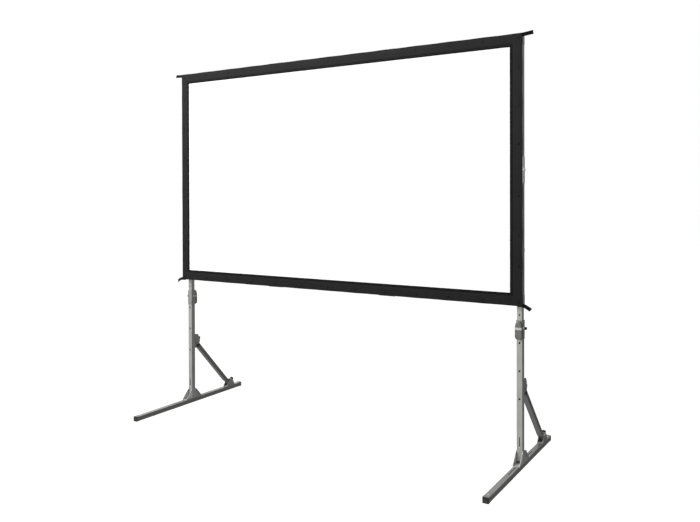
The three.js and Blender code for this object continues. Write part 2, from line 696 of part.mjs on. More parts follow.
function buildClamp(leg, side, name) {
  const clamp = new THREE.Group();
  clamp.rotation.z = side > 0 ? 0 : Math.PI;
  leg.add(clamp);
  place(clamp, `clamp_jaw_${name}`, clampJaw(), 'greyPlastic');
  place(clamp, `clamp_band_${name}`, clampBand(), 'steel');
  const face = bandFace + band.thickness + band.bossLength + seat;
  const knob = handKnob(clampKnob, band.bossLength);
  place(clamp, `clamp_knob_${name}`, knob, 'blackPlastic', face, 0, clampMiddle, [0, Math.PI / 2, 0]);
}

function buildLeg(side, name) {
  const leg = new THREE.Group();
  leg.position.x = side * postX;
  screen.add(leg);
  place(leg, `upper_post_${name}`, upperPostTube(), 'aluminium');
  place(leg, `lower_post_${name}`, lowerPostTube(), 'aluminium');
  place(leg, `leg_plate_${name}`, legPlate(side), 'darkAluminium');
  const frameKnobFace = upperHalf + seat;
  const frameStem = frameKnobFace - railRear - 2 * seat;
  const turnBack = [-Math.PI / 2, 0, 0];
  const hand = handKnob(frameKnob, frameStem);
  place(leg, `leg_knob_${name}`, hand, 'blackPlastic', 0, frameKnobFace, frameKnob.height, turnBack);
  buildClamp(leg, side, name);
  place(leg, `foot_beam_${name}`, footBeam(), 'darkAluminium');
  place(leg, `foot_cap_rear_${name}`, footCap(), 'rubber');
  place(leg, `foot_cap_front_${name}`, footCap(), 'rubber', 0, 0, 0, [0, 0, Math.PI]);
  place(leg, `base_bracket_${name}`, baseBracket(), 'darkAluminium');
  place(leg, `brace_bracket_upper_${name}`, upperBraceBracket(), 'darkAluminium');
  place(leg, `brace_bracket_lower_${name}`, lowerBraceBracket(), 'darkAluminium');
  const lean = [tilt, 0, 0];
  place(leg, `brace_${name}`, braceBar(), 'darkAluminium', 0, bracePivot.behind, bracePivot.height, lean);
  const knobs = [['upper', bracePivot, upperBracket], ['lower', braceBolt, lowerBracket]];
  for (const [level, pivot, shape] of knobs) {
    const face = shape.bridgeOut + bracket.bridge + seat;
    const [y, z] = fromPivot(pivot, shape.past, face);
    const stem = face - brace.depth / 2 - braceKnob.gap;
    place(leg, `brace_knob_${level}_${name}`, handKnob(braceKnob, stem), 'blackPlastic', 0, y, z, lean);
  }
}

buildCloth();
buildFrame();
buildLeg(-1, 'left');
buildLeg(1, 'right');

export default screen;
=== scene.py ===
import math

import bpy
from mathutils import Matrix, Vector, noise


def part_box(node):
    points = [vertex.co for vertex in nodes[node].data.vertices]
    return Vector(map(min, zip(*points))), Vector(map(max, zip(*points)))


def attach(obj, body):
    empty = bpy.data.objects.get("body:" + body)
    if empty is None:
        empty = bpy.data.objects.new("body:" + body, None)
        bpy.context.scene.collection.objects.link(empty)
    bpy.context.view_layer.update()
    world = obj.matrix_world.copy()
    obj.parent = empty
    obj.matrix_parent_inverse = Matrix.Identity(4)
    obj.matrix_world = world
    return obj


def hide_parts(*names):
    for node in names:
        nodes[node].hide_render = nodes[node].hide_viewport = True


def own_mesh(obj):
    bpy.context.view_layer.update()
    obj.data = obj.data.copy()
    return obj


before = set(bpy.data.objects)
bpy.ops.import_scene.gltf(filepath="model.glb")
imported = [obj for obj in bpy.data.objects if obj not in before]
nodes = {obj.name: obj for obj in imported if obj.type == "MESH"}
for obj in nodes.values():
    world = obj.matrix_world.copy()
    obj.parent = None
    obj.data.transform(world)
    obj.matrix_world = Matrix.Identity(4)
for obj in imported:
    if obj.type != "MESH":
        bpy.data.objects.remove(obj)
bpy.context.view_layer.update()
sides = {"left": -1, "right": 1}
print("frame loaded:", len(nodes), "nodes")


# a shader socket that takes part in sums
class Wire:
    def __init__(self, socket):
        self.socket = socket
        self.tree = socket.id_data

    # any node: its kind, the values and links of its sockets, its settings, and which output to carry on from
    def node(self, kind, inputs, settings=None, out=0):
        made = self.tree.nodes.new("ShaderNode" + kind)
        for key, value in (settings or {}).items():
            setattr(made, key, value)
        for key, value in inputs.items():
            join(value, made.inputs[key])
        return Wire(made.outputs[out])

    def sum(self, operation, *values):
        return self.node("Math", dict(enumerate(values)), {"operation": operation})

    def __add__(self, other):
        return self.sum("ADD", self, other)

    def __sub__(self, other):
        return self.sum("SUBTRACT", self, other)

    def __rsub__(self, other):
        return self.sum("SUBTRACT", other, self)

    def __mul__(self, other):
        return self.sum("MULTIPLY", self, other)

    def __rmul__(self, other):
        return self.sum("MULTIPLY", other, self)

    def __gt__(self, other):
        return self.sum("GREATER_THAN", self, other)

    def size(self):
        return self.sum("ABSOLUTE", self)

    def wave(self):
        return self.sum("SINE", self)

    def largest(self, other):
        return self.sum("MAXIMUM", self, other)

    # 0 below low, 1 above high, soft between them
    def rise(self, low, high):
        settings = {"interpolation_type": "SMOOTHSTEP"}
        return self.node("MapRange", {"Value": self, "From Min": low, "From Max": high}, settings)

    # 1 near a value and 0 further off than reach
    def near(self, value, reach):
        return 1 - (self - value).size().rise(0.0, reach)

    def axis(self, which):
        return self.node("SeparateXYZ", {"Vector": self}, out="XYZ".index(which))

    def stretched(self, scale, turn=(0, 0, 0)):
        return self.node("Mapping", {"Vector": self, "Scale": scale, "Rotation": turn})

    def grain(self, scale, detail=2.0, rough=0.5):
        return self.node("TexNoise", {"Vector": self, "Scale": scale, "Detail": detail, "Roughness": rough})

    # a colour moved towards another where the mask is 1
    def towards(self, first, second):
        return self.node("Mix", {0: self, 6: first, 7: second}, {"data_type": "RGBA"}, out=2)

    def bump(self, height):
        return self.node("Bump", {"Height": self, "Distance": height, "Strength": 1.0})


# links a wire to a socket, or sets a plain value or colour on it
def join(value, socket):
    if isinstance(value, Wire):
        socket.id_data.links.new(value.socket, socket)
    elif socket.type == "RGBA":
        socket.default_value = (*value, 1)
    else:
        socket.default_value = value


def newFinish(name):
    material = bpy.data.materials.new(name)
    material.use_nodes = True
    tree = material.node_tree
    tree.nodes.clear()
    output = tree.nodes.new("ShaderNodeOutputMaterial")
    shader = tree.nodes.new("ShaderNodeBsdfPrincipled")
    tree.links.new(shader.outputs[0], output.inputs[0])
    return material, shader, Wire(tree.nodes.new("ShaderNodeTexCoord").outputs["Object"])


def feed(shader, values):
    for key, value in values.items():
        join(value, shader.inputs[key])


# camera, at the photo's standpoint
shot = dict(
    place=(2.78377, -4.28658, 1.67791), turn=31.610, dip=0.399, roll=-0.1423, focal=36.819, rise=-0.08607,
)


def setCamera():
    bpy.ops.object.camera_add(location=shot["place"])
    camera = bpy.context.object
    camera.name = "shot_camera"
    turn = Matrix.Rotation(math.radians(shot["turn"]), 4, "Z")
    tip = Matrix.Rotation(math.radians(90 - shot["dip"]), 4, "X")
    roll = Matrix.Rotation(math.radians(shot["roll"]), 4, "Z")
    camera.rotation_euler = (turn @ tip @ roll).to_euler()
    camera.data.sensor_width = 36
    camera.data.lens = shot["focal"]
    camera.data.shift_y = shot["rise"]
    camera.data.clip_end = 200
    bpy.context.scene.camera = camera
    print("camera set")


# studio: a pale floor, a sky that is bright to the front left and dark behind to the right, and soft lamps;
# the floor lies as low as the drawn out legs reach, so it hides no foot at any pose
studio = dict(
    floor=dict(
        size=60, level=-0.3445, tones=((0.16, 0.16, 0.16), (0.1576, 0.1576, 0.1576)), rough=0.9, glow=0.86,
    ),
    plainTone=0.48,
    bright=dict(aim=(-0.70, -0.64, 0.30), reach=(0.1, 0.95), tone=1.45),
    dark=dict(aim=(0.80, 0.50, -0.35), reach=(0.0, 0.75), tone=0.38),
    rim=dict(aim=(-0.75, 0.60, 0.28), reach=(0.84, 0.99), tone=0.80),
    low=dict(reach=(-0.16, 0.36), share=0.30),
    bounce=dict(reach=(-0.60, -0.22), tone=0.30),
    lampAim=(0, 0, 1.2),
    key=dict(place=(-4.2, -6.0, 5.2), size=3.2, power=620),
    top=dict(place=(0.6, 1.2, 5.6), size=4.0, power=150),
)


def softLamp(name, place, size, power):
    bpy.ops.object.light_add(type="AREA", location=place)
    lamp = bpy.context.object
    lamp.name = name
    lamp.data.shape = "DISK"
    lamp.data.size = size
    lamp.data.energy = power
    aim = Vector(studio["lampAim"]) - Vector(place)
    lamp.rotation_euler = aim.to_track_quat("-Z", "Y").to_euler()


def setFloor():
    look = studio["floor"]
    bpy.ops.mesh.primitive_plane_add(size=look["size"], location=(0, 0, look["level"]))
    floor = bpy.context.object
    floor.name = "studio_floor"
    material, shader, spot = newFinish("paleFloor")
    feed(shader, {
        "Base Color": spot.grain(0.6).rise(0.2, 0.8).towards(*look["tones"]),
        "Roughness": look["rough"],
        "Emission Color": (1, 1, 1),
        "Emission Strength": look["glow"],
    })
    floor.data.materials.append(material)
    floor.visible_glossy = False
    floor.visible_diffuse = False


def skyGlow(sky):
    # how strongly the sky shines in each direction
    facing = {}
    for name in ("bright", "dark", "rim"):
        aim = Vector(studio[name]["aim"]).normalized()
        toward = sky.node("VectorMath", {0: sky, 1: aim}, {"operation": "DOT_PRODUCT"}, out=1)
        facing[name] = toward.rise(*studio[name]["reach"])
    plain, low, bounce = studio["plainTone"], studio["low"], studio["bounce"]
    glow = facing["bright"] * (studio["bright"]["tone"] - plain) + plain
    glow = glow * (1 - facing["dark"]) + studio["dark"]["tone"] * facing["dark"]
    glow = glow * (sky.axis("Z").rise(*low["reach"]) * (1 - low["share"]) + low["share"])
    glow = glow + facing["rim"] * studio["rim"]["tone"]
    return glow + (1 - sky.axis("Z").rise(*bounce["reach"])) * bounce["tone"]


def setStudio():
    setFloor()
    world = bpy.data.worlds.new("studioSky")
    bpy.context.scene.world = world
    world.use_nodes = True
    tree = world.node_tree
    tree.nodes.clear()
    glow = skyGlow(Wire(tree.nodes.new("ShaderNodeTexCoord").outputs["Generated"]))
    # the camera itself sees plain white behind the object
    seen = Wire(tree.nodes.new("ShaderNodeLightPath").outputs["Is Camera Ray"])
    background = glow.node("Background", {"Color": (1, 1, 1), "Strength": glow * (1 - seen) + seen})
    output = tree.nodes.new("ShaderNodeOutputWorld")
    join(background, output.inputs[0])
    softLamp("key_lamp", **studio["key"])
    softLamp("top_lamp", **studio["top"])
    bpy.context.scene.view_settings.view_transform = "Standard"
    print("studio set")


# screen cloth: a white picture sheet under a black border of four mitred strips; the hem gives how far the
# border stands out at each distance from the picture, and fade how far in from the edge each pull reaches
cloth = dict(
    picture=(2.657, 1.494), border=0.079, low=1.006, front=-0.0650, tuck=0.010, thick=0.0007,
    pitch=0.240, studInset=0.0255, swell=0.0011, scallop=0.0014, crease=0.0007,
    fade=dict(swell=0.05, scallop=0.03, crease=0.09),
    sheetCells=(150, 86),
    borderCells=(300, 180),
    hem=[
        (0, 0.0006), (0.003, 0.0011), (0.006, 0.0016), (0.009, 0.0017),
        (0.012, 0.0010), (0.0145, 0.0001), (0.017, 0.0004), (0.022, 0.0007),
        (0.032, 0.0007), (0.045, 0.0007), (0.058, 0.0007), (0.066, 0.0006),
        (0.0705, -0.0001), (0.0735, 0.0006), (0.077, 0.0003), (0.079, -0.0003),
    ],
)
clothSize = (cloth["picture"][0] + 2 * cloth["border"], cloth["picture"][1] + 2 * cloth["border"])
clothMiddle = cloth["low"] + clothSize[1] / 2

# how far the posts stand from the middle, and each brace in a side view: its upper bolt, the way along it,
# the way out from it, and where its knobs sit along and out
postX = 1.372
strut = dict(
    pivot=(0.038, 0.487), along=(0.68536, -0.72820), out=(0.72820, 0.68536),
    knobs=dict(upper=(0.008, 0.0363), lower=(0.59863, 0.0423)),
)


# the finishes' settings; a metal has its tone, the axis that its draw lines follow, and what differs from the
# plain tube, and a plastic its tone, roughness, share of scuffs and shine
braceTilt = math.atan2(strut["along"][1], strut["along"][0])
metals = dict(
    postMetal=dict(tone=(0.52, 0.52, 0.50), along="Z"),
    railMetal=dict(tone=(0.40, 0.40, 0.40), along="X"),
    sideMetal=dict(tone=(0.40, 0.40, 0.40), along="Z"),
    footMetal=dict(tone=(0.315, 0.315, 0.31), along="Y", rough=0.46),
    braceMetal=dict(tone=(0.27, 0.27, 0.265), along="Y", rough=0.46, tilt=braceTilt),
    bracketMetal=dict(tone=(0.27, 0.27, 0.265), along="Z", rough=0.66, metal=0.45),
    baseMetal=dict(tone=(0.42, 0.42, 0.415), along="Z", rough=0.56, metal=0.6, streak=0.14),
    plateMetal=dict(tone=(0.36, 0.36, 0.355), along="Z", rough=0.58, metal=0.7, streak=0.16),
    panelMetal=dict(tone=(0.60, 0.60, 0.59), along="Z", rough=0.6, metal=0.35),
)
plastics = dict(
    blackPlastic=dict(tone=(0.010, 0.010, 0.010), rough=0.5, mark=0.25, shine=0.32),
    studPlastic=dict(tone=(0.003, 0.003, 0.003), rough=0.42, mark=0.05, shine=0.10),
)


def drawnMetal(name, tone, along, rough=0.42, metal=0.9, streak=0.10, tilt=0.0):
    # long faint draw lines along the tube, cloudy oxide, a few rub marks
    material, shader, spot = newFinish(name)
    if tilt:
        spot = spot.stretched((1, 1, 1), (tilt, 0, 0))
    long = {"X": (0.03, 1, 1), "Y": (1, 0.03, 1), "Z": (1, 1, 0.03)}[along]
    lines = spot.stretched(long).grain(420, 3.0, 0.6)
    bands = spot.stretched(long).grain(60, 2.0)
    cloudy = spot.grain(9, 3.0, 0.55)
    rubbed = spot.stretched((1, 1, 1), (0.7, 0.4, 0.2)).stretched((1, 9, 1)).grain(70, 2.0).rise(0.66, 0.74)
    light = [min(1, 1.16 * part) for part in tone]
    shade = [0.84 * part for part in tone]
    bare = [min(1, 1.3 * part) for part in tone]
    mixed = (lines * 0.35 + bands * 0.35 + cloudy * 0.3).rise(0.5 - 5 * streak, 0.5 + 5 * streak)
    feed(shader, {
        "Base Color": (rubbed * 0.3).towards(mixed.towards(shade, light), bare),
        "Metallic": metal,
        "Roughness": (lines * 0.16 + cloudy * 0.14 + (rough - 0.15)) - rubbed * 0.08,
        "Normal": (lines + bands * 0.6).bump(0.00006),
    })
    return material


def brightSteel():
    # zinc plated steel, patchy and lightly worn
    material, shader, spot = newFinish("brightSteel")
    wear = spot.grain(160, 4.0, 0.6)
    patch = spot.grain(22, 2.0)
    feed(shader, {
        "Base Color": wear.rise(0.35, 0.7).towards((0.76, 0.77, 0.76), (0.93, 0.93, 0.92)),
        "Metallic": 0.85,
        "Roughness": wear * 0.14 + patch * 0.12 + 0.16,
        "Normal": wear.bump(0.00004),
    })
    return material


def mouldedPlastic(name, tone, rough, mark, shine):
    # fine spark grain, cloudy flow marks and pale scuffs
    material, shader, spot = newFinish(name)
    pebble = spot.grain(1500, 2.0)
    cloudy = spot.grain(24, 3.0, 0.6)
    scuff = spot.stretched((1, 6, 1), (0.5, 0.3, 0.9)).grain(110, 3.0, 0.65).rise(0.62, 0.72) * mark
    light = [part * 1.25 + 0.004 for part in tone]
    shade = [part * 0.82 for part in tone]
    feed(shader, {
        "Base Color": (scuff * 0.25).towards(cloudy.rise(0.3, 0.7).towards(shade, light), (0.22, 0.22, 0.21)),
        "Roughness": pebble * 0.14 + cloudy * 0.12 + (rough - 0.13),
        "Specular IOR Level": shine,
        "Normal": (pebble + cloudy * 0.5).bump(0.00005),
    })
    return material


def clampPlastic():
    # a pale collar round the post and a darker jaw on one side of it
    material, shader, spot = newFinish("clampPlastic")
    pebble = spot.grain(1500, 2.0)
    cloudy = spot.grain(30, 3.0, 0.6)
    scuff = spot.stretched((1, 6, 1), (0.5, 0.3, 0.9)).grain(110, 3.0, 0.65).rise(0.62, 0.72)
    jawSide = spot.axis("Y").size().rise(0.0213, 0.0217)
    mixed = cloudy.rise(0.3, 0.7)
    collar = mixed.towards((0.185, 0.185, 0.180), (0.240, 0.240, 0.234))
    jaw = mixed.towards((0.085, 0.085, 0.082), (0.115, 0.115, 0.112))
    feed(shader, {
        "Base Color": (scuff * 0.12).towards(jawSide.towards(collar, jaw), (0.30, 0.30, 0.29)),
        "Roughness": pebble * 0.14 + cloudy * 0.12 + 0.27,
        "Specular IOR Level": 1.0,
        "Normal": (pebble + cloudy * 0.5).bump(0.00005),
    })
    return material


def footRubber():
    # a grey sleeve with a black end, dusty where it stands on the ground
    material, shader, spot = newFinish("footRubber")
    pebble = spot.grain(900, 3.0, 0.6)
    cloudy = spot.grain(40, 2.0)
    dusty = (1 - spot.axis("Z").rise(0.0, 0.03)) * spot.grain(60, 3.0).rise(0.4, 0.7)
    end = spot.axis("Y").size().rise(0.5918, 0.5930)
    sleeve = cloudy.rise(0.3, 0.7).towards((0.150, 0.150, 0.147), (0.190, 0.190, 0.186))
    clean = end.towards(sleeve, (0.016, 0.016, 0.0155))
    feed(shader, {
        "Base Color": (dusty * 0.3).towards(clean, (0.12, 0.116, 0.108)),
        "Roughness": pebble * 0.2 + 0.55,
        "Specular IOR Level": 0.35,
        "Normal": pebble.bump(0.00008),
    })
    return material


def whiteCloth():
    # matt coated cloth: an even white with a very fine tooth
    material, shader, spot = newFinish("whiteCloth")
    tooth = spot.grain(900, 2.0)
    cloudy = spot.grain(2.2, 2.0)
    feed(shader, {
        "Base Color": cloudy.rise(0.3, 0.7).towards((0.86, 0.86, 0.86), (0.89, 0.89, 0.885)),
        "Roughness": tooth * 0.1 + 0.82,
        "Specular IOR Level": 0.3,
        "Normal": tooth.bump(0.00005),
    })
    return material


def blackBacking():
    # the picture cloth's dull reverse, coated so that no light comes through
    material, shader, spot = newFinish("blackBacking")
    tooth = spot.grain(700, 2.0)
    cloudy = spot.grain(5, 3.0)
    feed(shader, {
        "Base Color": cloudy.rise(0.3, 0.7).towards((0.020, 0.020, 0.021), (0.030, 0.030, 0.031)),
        "Roughness": tooth * 0.15 + 0.66,
        "Specular IOR Level": 0.35,
        "Normal": (tooth + cloudy).bump(0.0001),
    })
    return material


def blackCloth():
    # close woven border: threads both ways, soft creases, and the stitched lines of its inner and outer hems;
    # its hem folds and the gaps between its threads get painted shade
    material, shader, spot = newFinish("blackCloth")
    acrossThreads = spot.stretched((0.12, 1, 1)).grain(700, 2.0)
    upThreads = spot.stretched((1, 1, 0.12)).grain(700, 2.0)
    crease = spot.stretched((1, 1, 1), (0.0, 0.35, 0.0)).grain(16, 4.0, 0.55)
    broad = spot.grain(4.5, 2.0)
    threads = acrossThreads * 0.5 + upThreads * 0.5
    beside = spot.axis("X").size() - cloth["picture"][0] / 2
    above = (spot.axis("Z") - clothMiddle).size() - cloth["picture"][1] / 2
    away = beside.largest(above)
    run = (beside > above).towards(spot.stretched((1, 0, 0)), spot.stretched((0, 0, 1))).grain(360, 0.0)
    # the hem's inner edge, stitched groove and outer edge: they dip the bump, and further down they also take
    # painted shade
    hemDipsAndShade = away.near(0.0, 0.0110) * 1.3 + away.near(0.0150, 0.0045) * 0.7 + away.near(0.0790, 0.0100) * 0.6
    thread = (away.near(0.0145, 0.0009) + away.near(0.0705, 0.0009)) * run.rise(0.42, 0.5)
    weave = (threads * 0.5 + crease * 0.5).rise(0.34, 0.66)
    woven = weave.towards((0.0046, 0.0046, 0.0047), (0.0092, 0.0092, 0.0094))
    feed(shader, {
        "Base Color": (thread * 0.5).towards(woven, (0.040, 0.040, 0.041)),
        "Roughness": threads * 0.15 + crease * 0.15 + broad * 0.1 + 0.46,
        "Specular IOR Level": 0.16,
        "Normal": (threads * 0.25 + crease * 1.0 + broad * 1.2 - hemDipsAndShade * 0.3).bump(0.0016),
    })
    # painted shade: the folds of the hems and the gaps between the threads are mixed towards a darker shader
    # with no sheen
    foldShadeLook = {"Base Color": (0.0035, 0.0035, 0.0036), "Roughness": 0.9, "Specular IOR Level": 0.0}
    foldShadeShader = spot.node("BsdfPrincipled", foldShadeLook)
    foldShade = (hemDipsAndShade + (1 - threads.rise(0.30, 0.62)) * 0.25).rise(0.0, 1.0)
    mixed = foldShade.node("MixShader", {0: foldShade, 1: Wire(shader.outputs[0]), 2: foldShadeShader})
    join(mixed, shader.id_data.nodes["Material Output"].inputs[0])
    return material


def blackWebbing():
    # ribbed strap: the piece's own map runs along it in metres
    material, shader, spot = newFinish("blackWebbing")
    strap = spot.node("UVMap", {}, {"uv_map": "strap"})
    ribs = (strap.axis("X") * 2400).wave()
    cords = (strap.axis("Y") * 3100).wave()
    fuzz = strap.grain(1600, 2.0)
    raised = (ribs * 0.25 + cords * 0.15 + fuzz * 0.6).rise(0.0, 0.8)
    feed(shader, {
        "Base Color": raised.towards((0.002, 0.002, 0.002), (0.009, 0.009, 0.009)),
        "Roughness": fuzz * 0.2 + 0.62,
        "Specular IOR Level": 0.06,
        "Normal": (ribs * 0.5 + cords * 0.5 + fuzz * 0.5).bump(0.00025),
    })
    return material


# which finish each CAD node takes, by the longest start of its name that is listed
looks = {
    "top_rail_joint": "plateMetal",
    "bottom_rail_joint": "plateMetal",
    "top_rail": "railMetal",
    "bottom_rail": "railMetal",
    "side_tube": "sideMetal",
    "side_hinge": "brightSteel",
    "top_corner": "sideMetal",
    "bottom_corner": "sideMetal",
    "upper_post": "postMetal",
    "lower_post": "postMetal",
    "leg_plate": "plateMetal",
    "leg_knob": "blackPlastic",
    "clamp_jaw": "clampPlastic",
    "clamp_band": "brightSteel",
    "clamp_knob": "blackPlastic",
    "foot_beam": "footMetal",
    "foot_cap": "footRubber",
    "base_bracket": "baseMetal",
    "brace_bracket": "bracketMetal",
    "brace_knob": "blackPlastic",
    "brace_left": "braceMetal",
    "brace_right": "braceMetal",
    "picture_cloth": "whiteCloth",
    "border_cloth": "blackCloth",
    "pull_tab": "blackWebbing",
}
finishes = {}


def dressNodes():
    for name, look in metals.items():
        finishes[name] = drawnMetal(name, **look)
    for name, look in plastics.items():
        finishes[name] = mouldedPlastic(name, **look)
    for make in (brightSteel, clampPlastic, footRubber, whiteCloth, blackBacking, blackCloth, blackWebbing):
        finishes[make.__name__] = make()
    for name, piece in nodes.items():
        start = max((key for key in looks if name.startswith(key)), key=len)
        for spot in piece.material_slots:
            spot.material = finishes[looks[start]]
    print("finishes laid on the frame")


def studSpots(length):
    # even spots along an edge, the end ones near the corners
    inset = cloth["studInset"]
    run = length - 2 * inset
    count = round(run / cloth["pitch"])
    return [inset + run * step / count for step in range(count + 1)]


# the studs along the top and bottom borders are even, and up the side borders they are spaced as in the photo
studsAcross = [spot - clothSize[0] / 2 for spot in studSpots(clothSize[0])]
studsUp = [1.0315, 1.250, 1.434, 1.674, 1.990, 2.220, 2.453, 2.6325]


def swellOf(value, spots):
    # 0 at a stud and 1 half way between two
    for low, high in zip(spots, spots[1:]):
        if low <= value <= high:
            return math.sin(math.pi * (value - low) / (high - low)) ** 2
    return 0.0


def clothPoint(x, z):
    # where a point of the flat cloth lies once it is stretched on the studs
    edgeX = clothSize[0] / 2 - abs(x)
    edgeZ = clothSize[1] / 2 - abs(z - clothMiddle)
    fade = cloth["fade"]
    across = swellOf(x, studsAcross) * math.exp(-((max(edgeZ, 0) / fade["swell"]) ** 2))
    up = swellOf(z, studsUp) * math.exp(-((max(edgeX, 0) / fade["swell"]) ** 2))
    near = math.exp(-min(edgeX, edgeZ) / fade["crease"])
    ripple = noise.noise(Vector((x * 9, 0.3, z * 9))) + 0.5 * noise.noise(Vector((x * 23, 4.1, z * 23)))
    y = cloth["front"] - cloth["swell"] * (across + up) - cloth["crease"] * ripple * near
    pull = cloth["scallop"]
    outX = math.copysign(pull * up * math.exp(-edgeX / fade["scallop"]), x)
    outZ = math.copysign(pull * across * math.exp(-edgeZ / fade["scallop"]), z - clothMiddle)
    return x - outX, y, z - outZ


def even(count):
    return [step / count for step in range(count + 1)]


def hemRise(x, z):
    # how far the border stands out at a place: a rolled hem inside, a stitched groove, a turned outer edge
    away = max(abs(x) - cloth["picture"][0] / 2, abs(z - clothMiddle) - cloth["picture"][1] / 2)
    for (low, first), (high, second) in zip(cloth["hem"], cloth["hem"][1:]):
        if away <= high:
            return first + (second - first) * max(0.0, away - low) / (high - low)
    return cloth["hem"][-1][1]


def takeUp(piece):
    bpy.ops.object.select_all(action="DESELECT")
    piece.select_set(True)
    bpy.context.view_layer.objects.active = piece


def newSheet(name, points, wide, material):
    # a grid of faces through rows of points, wide points to a row
    faces = []
    for start in range(0, len(points) - wide, wide):
        for first in range(start, start + wide - 1):
            faces.append((first, first + 1, first + wide + 1, first + wide))
    mesh = bpy.data.meshes.new(name)
    mesh.from_pydata(points, [], faces)
    mesh.materials.append(material)
    piece = bpy.data.objects.new(name, mesh)
    bpy.context.collection.objects.link(piece)
    takeUp(piece)
    return piece


def thicken(piece, thick, offset, backMaterial=0):
    wall = piece.modifiers.new("wall", "SOLIDIFY")
    wall.thickness = thick
    wall.offset = offset
    wall.material_offset = backMaterial
    bpy.ops.object.modifier_apply(modifier="wall")


def faceOutward(piece):
    takeUp(piece)
    bpy.ops.object.mode_set(mode="EDIT")
    bpy.ops.mesh.select_all(action="SELECT")
    bpy.ops.mesh.normals_make_consistent(inside=False)
    bpy.ops.object.mode_set(mode="OBJECT")


def layCloth(name, across, up, flatPoint, lift, material, backing=None):
    # a grid of cloth that faces the audience; flatPoint turns a share of each side into a flat place
    points = []
    for v in up:
        for u in across:
            flatX, flatZ = flatPoint(u, v)
            x, y, z = clothPoint(flatX, flatZ)
            points.append((x, y - (hemRise(flatX, flatZ) if lift is None else lift), z))
    piece = newSheet(name, points, len(across), material)
    if backing:
        piece.data.materials.append(backing)
    thicken(piece, cloth["thick"], -1, 1 if backing else 0)
    bpy.ops.object.shade_smooth_by_angle(angle=math.radians(50))
    return piece


def foldWithFrame(piece, slot, *stoodFor):
    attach(piece, "root")
    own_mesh(piece)
    if stoodFor:
        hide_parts(*stoodFor)


def layPicture():
    sheetX, sheetZ = (size / 2 + cloth["tuck"] for size in cloth["picture"])
    cellsAcross, cellsUp = (even(count) for count in cloth["sheetCells"])

    def flatPlace(u, v):
        return (2 * u - 1) * sheetX, clothMiddle + (2 * v - 1) * sheetZ

    front, back = finishes["whiteCloth"], finishes["blackBacking"]
    picture = layCloth("picture_sheet", cellsAcross, cellsUp, flatPlace, 0.0, front, back)
    foldWithFrame(picture, "picture_cloth", "picture_cloth")
    2 * sheetX
    2 * sheetZ


def layBorder():
    # four mitred strips, each laid out from shares of its length and width; the rows across its width follow
    # the hem
    halfX, halfZ = clothSize[0] / 2, clothSize[1] / 2
    inX, inZ = cloth["picture"][0] / 2, cloth["picture"][1] / 2
    wide = cloth["border"]
    cellsAcross, cellsUp = (even(count) for count in cloth["borderCells"])
    outward = [place / wide for place, rise in cloth["hem"]]
    inward = [1 - share for share in reversed(outward)]

    def topFlat(u, v):
        return (2 * u - 1) * (inX + v * wide), clothMiddle + inZ + v * wide

    def bottomFlat(u, v):
        return (2 * u - 1) * (halfX - v * wide), clothMiddle - halfZ + v * wide

    def rightFlat(u, v):
        return inX + u * wide, clothMiddle + (2 * v - 1) * (inZ + u * wide)

    def leftFlat(u, v):
        return -halfX + u * wide, clothMiddle + (2 * v - 1) * (halfZ - u * wide)

    strips = {
        "top": (cellsAcross, outward, topFlat, halfX, inX),
        "bottom": (cellsAcross, inward, bottomFlat, halfX, inX),
        "right": (outward, cellsUp, rightFlat, halfZ, inZ),
        "left": (inward, cellsUp, leftFlat, halfZ, inZ),
    }
    for place, (across, up, flatPlace, outer, inner) in strips.items():
        strip = layCloth(f"border_{place}", across, up, flatPlace, None, finishes["blackCloth"])
        foldWithFrame(strip, "border_cloth", *(["border_cloth"] if place == "top" else []))
        size, area = (outer * 2, wide), (outer + inner) * wide


def buildCloth():
    layPicture()
    layBorder()
    print("cloth laid")


# pull tabs: doubled webbing, sewn behind the cloth's corner and looped at the free end; behind is how far
# each reaches in behind the cloth, and lean how far it is turned up, in degrees
straps = dict(
    width=0.023, thick=0.0015, gap=0.0024, behind=0.03, back=0.002, turns=10, steps=26, cells=6,
    tabs={
        ("top", "right"): dict(root=-0.0115, reach=0.064, rise=0.008, bend=1.0, lean=88),
        ("top", "left"): dict(root=-0.0105, reach=0.064, rise=0.004, bend=2.0, lean=68),
        ("bottom", "right"): dict(root=0.0060, reach=0.046, rise=-0.024, bend=1.15, lean=52),
        ("bottom", "left"): dict(root=0.0055, reach=0.054, rise=-0.022, bend=2.2, lean=66),
    },
)


def strapLine(kind, sideName):
    # the middle line of a tab, from behind the cloth out to its free end
    tab, side = straps["tabs"][kind, sideName], sides[sideName]
    edge, behind = clothSize[0] / 2, straps["behind"]
    root = cloth["low"] + (clothSize[1] if kind == "top" else 0) + tab["root"]
    line = [(side * (edge - behind + behind * share), root) for share in (0.0, 0.35, 0.7)]
    for share in even(straps["steps"]):
        line.append((side * (edge + tab["reach"] * share), root + tab["rise"] * share ** tab["bend"]))
    return line


def strapRows(line, side):
    # one run of rows, out along the line, round the loop's end and back: the spot on the line, the way up
    # there, how far the row lies off the line, and how far along the strap it is
    layer = straps["gap"] / 2
    runs, upright = [0.0], []
    for first, second in zip(line, line[1:]):
        gone = math.dist(first, second)
        runs.append(runs[-1] + gone)
        upright.append((-side * (second[1] - first[1]) / gone, side * (second[0] - first[0]) / gone))
    upright.append(upright[-1])
    total = runs[-1]
    outward = [(*spot, up, layer, run) for spot, up, run in zip(line, upright, runs)]
    loop = []
    (tipX, tipZ), up = line[-1], upright[-1]
    for turn in range(1, straps["turns"]):
        angle = math.pi * turn / straps["turns"]
        further = side * layer * math.sin(angle)
        spot = (tipX + up[1] * further, tipZ - up[0] * further)
        loop.append((*spot, up, layer * math.cos(angle), total + layer * angle))
    end = 2 * total + math.pi * layer
    inward = [(x, z, up, -layer, end - run) for x, z, up, off, run in reversed(outward)]
    return outward + loop + inward


